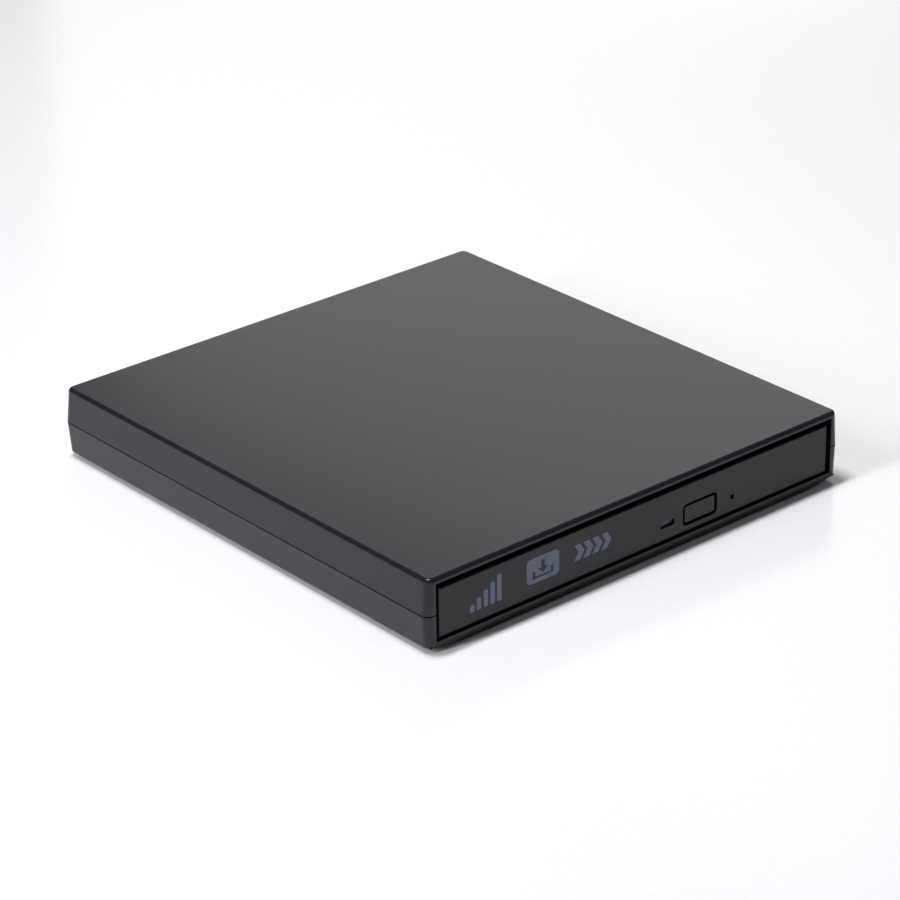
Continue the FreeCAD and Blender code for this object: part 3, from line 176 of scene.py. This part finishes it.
class Finish:
    """A principled material built from procedural nodes in object space, in metres."""

    def __init__(self, name):
        self.material = bpy.data.materials.new(name)
        self.material.use_nodes = True
        self.tree = self.material.node_tree
        self.shader = self.tree.nodes["Principled BSDF"]
        self.place = self.tree.nodes.new("ShaderNodeTexCoord").outputs["Object"]

    def set(self, **values):
        for name, value in values.items():
            self.shader.inputs[name.replace("_", " ")].default_value = value
        return self

    def add(self, kind, **settings):
        node = self.tree.nodes.new("ShaderNode" + kind)
        for name, value in settings.items():
            setattr(node, name, value)
        return node

    def join(self, source, target):
        self.tree.links.new(source, target)

    def stretched(self, factors):
        """Object coordinates scaled along each axis, for brushed or moulded grain."""
        mapping = self.add("Mapping")
        mapping.inputs["Scale"].default_value = factors
        self.join(self.place, mapping.inputs["Vector"])
        return mapping.outputs["Vector"]

    def noise(self, size, detail=2.0, roughness=0.5, where=None):
        """Noise whose features are about this many metres across."""
        node = self.add("TexNoise")
        node.inputs["Scale"].default_value = 1.0 / size
        node.inputs["Detail"].default_value = detail
        node.inputs["Roughness"].default_value = roughness
        self.join(where or self.place, node.inputs["Vector"])
        return node.outputs["Fac"]

    def cells(self, size, feature="F1"):
        node = self.add("TexVoronoi", feature=feature)
        node.inputs["Scale"].default_value = 1.0 / size
        self.join(self.place, node.inputs["Vector"])
        return node.outputs["Distance"]

    def spread(self, source, low, high, low_in=0.3, high_in=0.7):
        """A factor mapped onto a range of values."""
        node = self.add("MapRange")
        node.inputs["From Min"].default_value = low_in
        node.inputs["From Max"].default_value = high_in
        node.inputs["To Min"].default_value = low
        node.inputs["To Max"].default_value = high
        self.join(source, node.inputs["Value"])
        return node.outputs["Result"]

    def blend(self, factor, low, high):
        """A colour between two, by a factor."""
        node = self.add("Mix", data_type="RGBA")
        for socket, colour in (("A", low), ("B", high)):
            target = [each for each in node.inputs if each.name == socket and each.type == "RGBA"][0]
            if isinstance(colour, bpy.types.NodeSocket):
                self.join(colour, target)
            else:
                target.default_value = (*colour, 1.0)
        self.join(factor, node.inputs["Factor"])
        return [each for each in node.outputs if each.type == "RGBA"][0]

    def relief(self, height, depth, under=None, strength=1.0):
        """A bump of this many metres."""
        node = self.add("Bump")
        node.inputs["Distance"].default_value = depth
        node.inputs["Strength"].default_value = strength
        self.join(height, node.inputs["Height"])
        if under is not None:
            self.join(under, node.inputs["Normal"])
        return node.outputs["Normal"]

    def soft_edges(self, radius):
        node = self.add("Bevel", samples=4)
        node.inputs["Radius"].default_value = radius
        return node.outputs["Normal"]

    def finish(self, colour=None, roughness=None, normal=None):
        if colour is not None:
            self.join(colour, self.shader.inputs["Base Color"])
        if roughness is not None:
            self.join(roughness, self.shader.inputs["Roughness"])
        if normal is not None:
            self.join(normal, self.shader.inputs["Normal"])
        return self.material


def grey(level, warmth=0.0):
    """A linear grey, a little warmer or cooler."""
    return (level * (1 + warmth), level, level * (1 - warmth))


def moulded_plastic(name, colour, roughness, grain, depth, edge=0.12 * MM, specular=0.5):
    """Injection-moulded plastic: spark-eroded grain, faint flow marks, softened edges."""
    look = Finish(name).set(Specular_IOR_Level=specular)
    fine = look.noise(grain, detail=3.0, roughness=0.6)
    broad = look.noise(18 * MM, detail=3.0)
    darker = tuple(each * 0.88 for each in colour)
    lighter = tuple(each * 1.1 for each in colour)
    tone = look.blend(look.spread(fine, 0.0, 1.0), darker, lighter)
    flow = look.blend(look.spread(broad, 0.0, 0.15), tone, tuple(each * 1.2 for each in colour))
    rough = look.spread(broad, roughness - 0.006, roughness + 0.006)
    normal = look.relief(fine, depth, under=look.soft_edges(edge))
    return look.finish(flow, rough, normal)


def sheet_steel(name, colour, roughness, along=(1.0, 0.03, 1.0), grain=0.25 * MM, metal=1.0):
    """Rolled or ground metal: fine lines along one direction and cloudy plating."""
    look = Finish(name).set(Metallic=metal)
    lines = look.noise(grain, detail=3.0, roughness=0.7, where=look.stretched(along))
    cloud = look.noise(6 * MM, detail=4.0)
    tone = look.blend(look.spread(cloud, 0.0, 1.0), tuple(each * 0.86 for each in colour), colour)
    rough = look.spread(lines, roughness - 0.07, roughness + 0.09)
    normal = look.relief(lines, 0.004 * MM, under=look.soft_edges(0.08 * MM))
    return look.finish(tone, rough, normal)


def circuit_board(name):
    """Solder resist over copper tracks, with tinned pads."""
    look = Finish(name).set(Roughness=0.32, Coat_Weight=0.3)
    track = look.add("TexBrick")
    track.inputs["Scale"].default_value = 1.0 / (9 * MM)
    track.inputs["Mortar Size"].default_value = 0.035
    track.inputs["Color1"].default_value = (0.008, 0.075, 0.03, 1.0)
    track.inputs["Color2"].default_value = (0.01, 0.09, 0.036, 1.0)
    track.inputs["Mortar"].default_value = (0.02, 0.16, 0.055, 1.0)
    look.join(look.place, track.inputs["Vector"])
    pads = look.spread(look.cells(2.4 * MM), 1.0, 0.0, 0.14, 0.2)
    tone = look.blend(pads, track.outputs["Color"], (0.55, 0.56, 0.54))
    normal = look.relief(track.outputs["Fac"], 0.02 * MM)
    return look.finish(tone, None, normal)


def chip_epoxy(name):
    look = Finish(name)
    fine = look.noise(0.12 * MM, detail=3.0)
    tone = look.blend(look.spread(fine, 0.0, 1.0), grey(0.012), grey(0.022))
    return look.finish(tone, look.spread(fine, 0.45, 0.62), look.relief(fine, 0.006 * MM))


def rubber(name, level=0.018):
    look = Finish(name).set(Specular_IOR_Level=0.35)
    fine = look.noise(0.2 * MM, detail=4.0, roughness=0.65)
    dust = look.noise(3 * MM, detail=4.0)
    tone = look.blend(look.spread(dust, 0.0, 1.0), grey(level), grey(level * 1.7, 0.03))
    return look.finish(tone, look.spread(fine, 0.72, 0.9), look.relief(fine, 0.02 * MM))


def copper_winding(name):
    """Close turns of enamelled wire."""
    look = Finish(name).set(Metallic=0.8, Coat_Weight=0.5, Coat_Roughness=0.15)
    wave = look.add("TexWave", bands_direction="Z")
    wave.inputs["Scale"].default_value = 1.0 / (1.1 * MM)
    look.join(look.place, wave.inputs["Vector"])
    # The colour follows the same bands as the bump: darker in the grooves between turns and lighter on
    # their crests. This is painted shade in the grooves and painted highlight on the turns.
    tone = look.blend(wave.outputs["Fac"], (0.22, 0.07, 0.02), (0.62, 0.24, 0.09))
    return look.finish(tone, look.spread(wave.outputs["Fac"], 0.25, 0.4, 0.0, 1.0),
                       look.relief(wave.outputs["Fac"], 0.05 * MM))


def clear_lens(name, colour, roughness, transmission):
    look = Finish(name).set(Transmission_Weight=transmission, IOR=1.5)
    haze = look.noise(1.5 * MM, detail=1.0)
    tone = look.blend(look.spread(haze, 0.0, 1.0), colour, tuple(each * 1.06 for each in colour))
    return look.finish(tone, look.spread(haze, roughness, roughness + 0.03))


def polyimide(name):
    """Flexible film with copper lines under it."""
    look = Finish(name).set(Roughness=0.28, Coat_Weight=0.4)
    wave = look.add("TexWave", bands_direction="X")
    wave.inputs["Scale"].default_value = 1.0 / (3.1 * MM)
    look.join(look.place, wave.inputs["Vector"])
    lines = look.spread(wave.outputs["Fac"], 0.0, 1.0, 0.35, 0.65)
    tone = look.blend(lines, (0.36, 0.17, 0.045), (0.55, 0.3, 0.1))
    return look.finish(tone, None, look.relief(lines, 0.01 * MM))


def pad_ink(name):
    """Pad-printed ink: thin, a little uneven at the edges of the grain."""
    look = Finish(name).set(Specular_IOR_Level=0.4)
    fine = look.noise(0.1 * MM, detail=3.0)
    tone = look.blend(look.spread(fine, 0.0, 1.0), (0.135, 0.16, 0.225), (0.17, 0.2, 0.28))
    return look.finish(tone, look.spread(fine, 0.45, 0.6))


def label_film(name):
    """A blank satin label with a faint weave."""
    look = Finish(name).set(Specular_IOR_Level=0.4)
    weave = look.noise(0.3 * MM, detail=2.0, where=look.stretched((1.0, 0.25, 1.0)))
    tone = look.blend(look.spread(weave, 0.0, 1.0), grey(0.3), grey(0.34))
    return look.finish(tone, look.spread(weave, 0.4, 0.5), look.relief(weave, 0.003 * MM))


def white_sweep(name):
    look = Finish(name).set(Specular_IOR_Level=0.5)
    fine = look.noise(2 * MM, detail=2.0)
    tone = look.blend(look.spread(fine, 0.0, 1.0), grey(0.9), grey(0.92))
    return look.finish(tone, look.spread(fine, 0.16, 0.2))


MATERIALS = {
    "case_plastic": moulded_plastic("case_plastic", (0.0105, 0.0098, 0.0155), 0.23, 0.35 * MM,
                                    0.011 * MM, specular=0.4),
    "bezel_plastic": moulded_plastic("bezel_plastic", (0.006, 0.0052, 0.0105), 0.3, 0.25 * MM,
                                     0.004 * MM, edge=0.05 * MM, specular=0.36),
    "tray_plastic": moulded_plastic("tray_plastic", grey(0.022), 0.5, 0.25 * MM, 0.008 * MM),
    "black_plastic": moulded_plastic("black_plastic", grey(0.012), 0.45, 0.2 * MM, 0.006 * MM),
    "turntable_plastic": moulded_plastic("turntable_plastic", grey(0.03), 0.3, 0.3 * MM, 0.003 * MM),
    "white_plastic": moulded_plastic("white_plastic", grey(0.6, 0.03), 0.4, 0.3 * MM, 0.005 * MM),
    "foot_rubber": rubber("foot_rubber"),
    "ring_rubber": rubber("ring_rubber", 0.012),
    "screw_steel": sheet_steel("screw_steel", grey(0.08), 0.36, (1, 1, 1), 0.15 * MM),
    "bright_steel": sheet_steel("bright_steel", grey(0.62), 0.24),
    "zinc_steel": sheet_steel("zinc_steel", (0.55, 0.56, 0.58), 0.38),
    "plated_steel": sheet_steel("plated_steel", grey(0.66, 0.01), 0.2, (1, 1, 1)),
    "cover_sheet": moulded_plastic("cover_sheet", grey(0.02), 0.36, 0.15 * MM, 0.003 * MM),
    "sled_alloy": sheet_steel("sled_alloy", grey(0.42), 0.45, (1, 1, 1), 0.3 * MM),
    "sleeve_brass": sheet_steel("sleeve_brass", (0.62, 0.42, 0.16), 0.28, (1, 1, 0.05)),
    "coil_copper": copper_winding("coil_copper"),
    "board_green": circuit_board("board_green"),
    "chip_epoxy": chip_epoxy("chip_epoxy"),
    "flex_film": polyimide("flex_film"),
    "lens_clear": clear_lens("lens_clear", (0.05, 0.06, 0.075), 0.25, 0.2),
    "lens_glass": clear_lens("lens_glass", (0.55, 0.68, 0.95), 0.02, 0.75),
    "ink": pad_ink("ink"),
    "label_film": label_film("label_film"),
}


def dress_nodes():
    """Give every CAD node the material of its slot."""
    slots = {each["node"]: each["material_slot"] for each in frame["record"]["subparts"]}
    for name, thing in NODES.items():
        thing.data.materials.clear()
        thing.data.materials.append(MATERIALS[slots[name]])


# ---------------------------------------------------------------- printed marks on the front panel

INK_PROUD = 0.015 * MM


def rounded_outline(left, right, low, high, radius, steps=6):
    """The corners of a rounded rectangle, counterclockwise."""
    centres = ((right - radius, low + radius, -90), (right - radius, high - radius, 0),
               (left + radius, high - radius, 90), (left + radius, low + radius, 180))
    points = []
    for x, z, start in centres:
        for index in range(steps + 1):
            turn = math.radians(start + 90 * index / steps)
            points.append((x + radius * math.cos(turn), z + radius * math.sin(turn)))
    return points


class Print:
    """Flat ink shapes on the front panel, drawn in x and z millimetres."""

    def __init__(self, name):
        self.name = name
        self.solid = bmesh.new()
        self.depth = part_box("bezel")[0].y - INK_PROUD

    def shape(self, outline, *holes):
        """One filled outline, less its holes."""
        loops = [[Vector((x, z, 0.0)) for x, z in loop] for loop in (outline, *holes)]
        points = [point for loop in loops for point in loop]
        vertices = [self.solid.verts.new((point.x * MM, self.depth, point.y * MM)) for point in points]
        for corners in tessellate_polygon(loops):
            self.solid.faces.new([vertices[corner] for corner in corners])

    def build(self):
        """The ink has a little thickness, and its back lies on the panel."""
        faces = list(self.solid.faces)
        bmesh.ops.recalc_face_normals(self.solid, faces=faces)
        if faces[0].normal.y > 0:
            bmesh.ops.reverse_faces(self.solid, faces=faces)
        backing = bmesh.ops.extrude_face_region(self.solid, geom=faces, use_keep_orig=True)
        moved = [each for each in backing["geom"] if isinstance(each, bmesh.types.BMVert)]
        bmesh.ops.translate(self.solid, verts=moved, vec=(0, INK_PROUD, 0))
        mesh = mesh_of(self.name, self.solid, MATERIALS["ink"])
        ride_on(new_object(self.name, mesh), "tray")


def print_bars():
    """First mark: five solid bars, each taller than the last."""
    mark = Print("print_bars")
    first, pitch, wide, low, shortest, rise = -54.6, 2.1, 1.35, 6.3, 8.1, 1.3
    for index in range(5):
        left = first + pitch * index
        mark.shape(rounded_outline(left, left + wide, low, shortest + rise * index, 0.3))
    mark.build()


def print_window():
    """Second mark: a solid tile with an arrow and a dish cut out of it."""
    mark = Print("print_window")
    left, right, low, high = -37.0, -26.7, 6.9, 13.5
    middle = (left + right) / 2
    arrow = [(middle - 0.55, 12.3), (middle - 0.55, 10.4), (middle - 1.7, 10.4), (middle, 8.9),
             (middle + 1.7, 10.4), (middle + 0.55, 10.4), (middle + 0.55, 12.3)]
    dish = [(middle - 3.3, 9.9), (middle - 3.3, 8.0), (middle + 3.3, 8.0), (middle + 3.3, 9.9),
            (middle + 2.5, 9.9), (middle + 2.5, 8.5), (middle - 2.5, 8.5), (middle - 2.5, 9.9)]
    mark.shape(rounded_outline(left, right, low, high, 1.3), arrow, dish)
    mark.build()


def print_chevrons():
    """Third mark: four solid chevrons in a row."""
    mark = Print("print_chevrons")
    first, pitch, wide, point, low, high = -21.9, 2.9, 1.9, 1.4, 8.1, 12.3
    middle = (low + high) / 2
    for index in range(4):
        left = first + pitch * index
        right = left + wide
        mark.shape([(left, high), (right, high), (right + point, middle), (right, low),
                    (left, low), (left + point, middle)])
    mark.build()


# ---------------------------------------------------------------- soft and sprung pieces

def ribbon(name, path, across, thick):
    """A flat cable: a strip swept along a path of points, this wide across and this thick."""
    half = Vector(across) / 2
    solid = bmesh.new()
    rows = []
    for index, point in enumerate(path):
        before = path[max(index - 1, 0)]
        after = path[min(index + 1, len(path) - 1)]
        along = (Vector(after) - Vector(before)).normalized()
        up = along.cross(Vector(across)).normalized() * thick / 2
        corners = (-half - up, half - up, half + up, -half + up)
        rows.append([solid.verts.new(Vector(point) + corner) for corner in corners])
    close_tube(solid, rows)
    return new_object(name, mesh_of(name, solid, MATERIALS["flex_film"]))


def fold_path(straight, low, high, runs=8, steps=12):
    """Out along one level, round a half turn, and back along the other: (distance, height) pairs."""
    middle = (low + high) / 2
    radius = (high - low) / 2
    out = [(straight * index / runs, low) for index in range(runs)]
    turns = [math.pi * index / steps for index in range(steps + 1)]
    bend = [(straight + radius * math.sin(turn), middle - radius * math.cos(turn)) for turn in turns]
    back = [(straight * index / runs, high) for index in reversed(range(runs))]
    return out + bend + back


def make_tray_cable():
    """From the main board forward along the pan, and folded back over itself towards the tray; it
    stays put when the tray moves.
    """
    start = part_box("main_board")[0].y
    low = 4.0 * MM
    high = 5.95 * MM
    path = [(-1.0 * MM, start - reach, level) for reach, level in fold_path(26 * MM, low, high)]
    piece = ribbon("tray_flex_fold", path, (22 * MM, 0, 0), 0.13 * MM)
    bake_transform(piece)
    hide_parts("tray_flex")


def make_pickup_cable():
    """From the tray's shield to the underside of the sled, folded towards the spindle."""
    low_corner, high_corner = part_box("spindle_shaft")
    centre = (low_corner + high_corner) / 2
    turn = Matrix.Rotation(math.radians(225), 3, "Z")
    low = 6.57 * MM
    high = 6.82 * MM
    path = []
    for reach, level in fold_path(16 * MM, low, high):
        place = turn @ Vector((34 * MM - reach, 0, 0))
        path.append((centre.x + place.x, centre.y + place.y, level))
    across = turn @ Vector((0, 13 * MM, 0))
    piece = ribbon("pickup_flex_fold", path, across, 0.07 * MM)
    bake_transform(piece)
    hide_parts("pickup_flex")


def make_ejector_coil():
    """An open coil round the rod, meeting the rod at its front end and the housing at its back end."""
    low_corner, high_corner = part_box("ejector_pusher")
    centre = (low_corner + high_corner) / 2
    front = 41.6 * MM
    back = 55.2 * MM
    wire = 0.15 * MM
    radius = 1.18 * MM
    steps = 20
    count = 12 * steps
    sides = 8
    solid = bmesh.new()
    rings = []
    for index in range(count + 1):
        angle = 2 * math.pi * index / steps
        out = Vector((math.cos(angle), 0, math.sin(angle)))
        level = front + (back - front) * index / count
        middle = Vector((centre.x, level, centre.z)) + out * radius
        swings = [2 * math.pi * side / sides for side in range(sides)]
        offsets = [out * math.cos(swing) + Vector((0, 1, 0)) * math.sin(swing) for swing in swings]
        rings.append([solid.verts.new(middle + offset * wire) for offset in offsets])
    close_tube(solid, rings)
    mesh = mesh_of("ejector_coil", solid, MATERIALS["bright_steel"])
    mesh.shade_smooth()
    piece = new_object("ejector_coil", mesh)
    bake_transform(piece)
    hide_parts("ejector_spring")


def make_label():
    """A blank label in its recess under the lower shell, with three empty raised fields."""
    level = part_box("bottom_cover")[0].z
    solid = bmesh.new()

    def plate(left, right, low, high, radius, bottom, top):
        points = rounded_outline(left, right, low, high, radius)
        ring = [solid.verts.new((x * MM, y * MM, bottom)) for x, y in points]
        face = solid.faces.new(ring)
        made = bmesh.ops.extrude_face_region(solid, geom=[face], use_keep_orig=True)
        moved = [each for each in made["geom"] if isinstance(each, bmesh.types.BMVert)]
        bmesh.ops.translate(solid, verts=moved, vec=(0, 0, top - bottom))

    plate(-29.4, 29.4, -21.4, 21.4, 1.5, level + 0.11 * MM, level + 0.2 * MM)
    for field in ((-26.5, 26.5, 9.5, 18.5), (-26.5, -2.0, -18.5, 6.5), (1.0, 26.5, -18.5, 6.5)):
        plate(*field, 0.8, level + 0.07 * MM, level + 0.115 * MM)
    mesh = mesh_of("label", solid, MATERIALS["label_film"])
    ride_on(new_object("label", mesh), "case")


# ---------------------------------------------------------------- run

make_camera()
make_studio()
dress_nodes()
print_bars()
print_window()
print_chevrons()
make_tray_cable()
make_pickup_cable()
make_ejector_coil()
make_label()

corners = [(-FLOOR_HALF, -FLOOR_HALF, 0), (FLOOR_HALF, -FLOOR_HALF, 0),
           (FLOOR_HALF, FLOOR_HALF, 0), (-FLOOR_HALF, FLOOR_HALF, 0)]
floor = new_object("floor", mesh_from("floor", corners, [(0, 1, 2, 3)]))
floor.data.materials.append(white_sweep("white_sweep"))
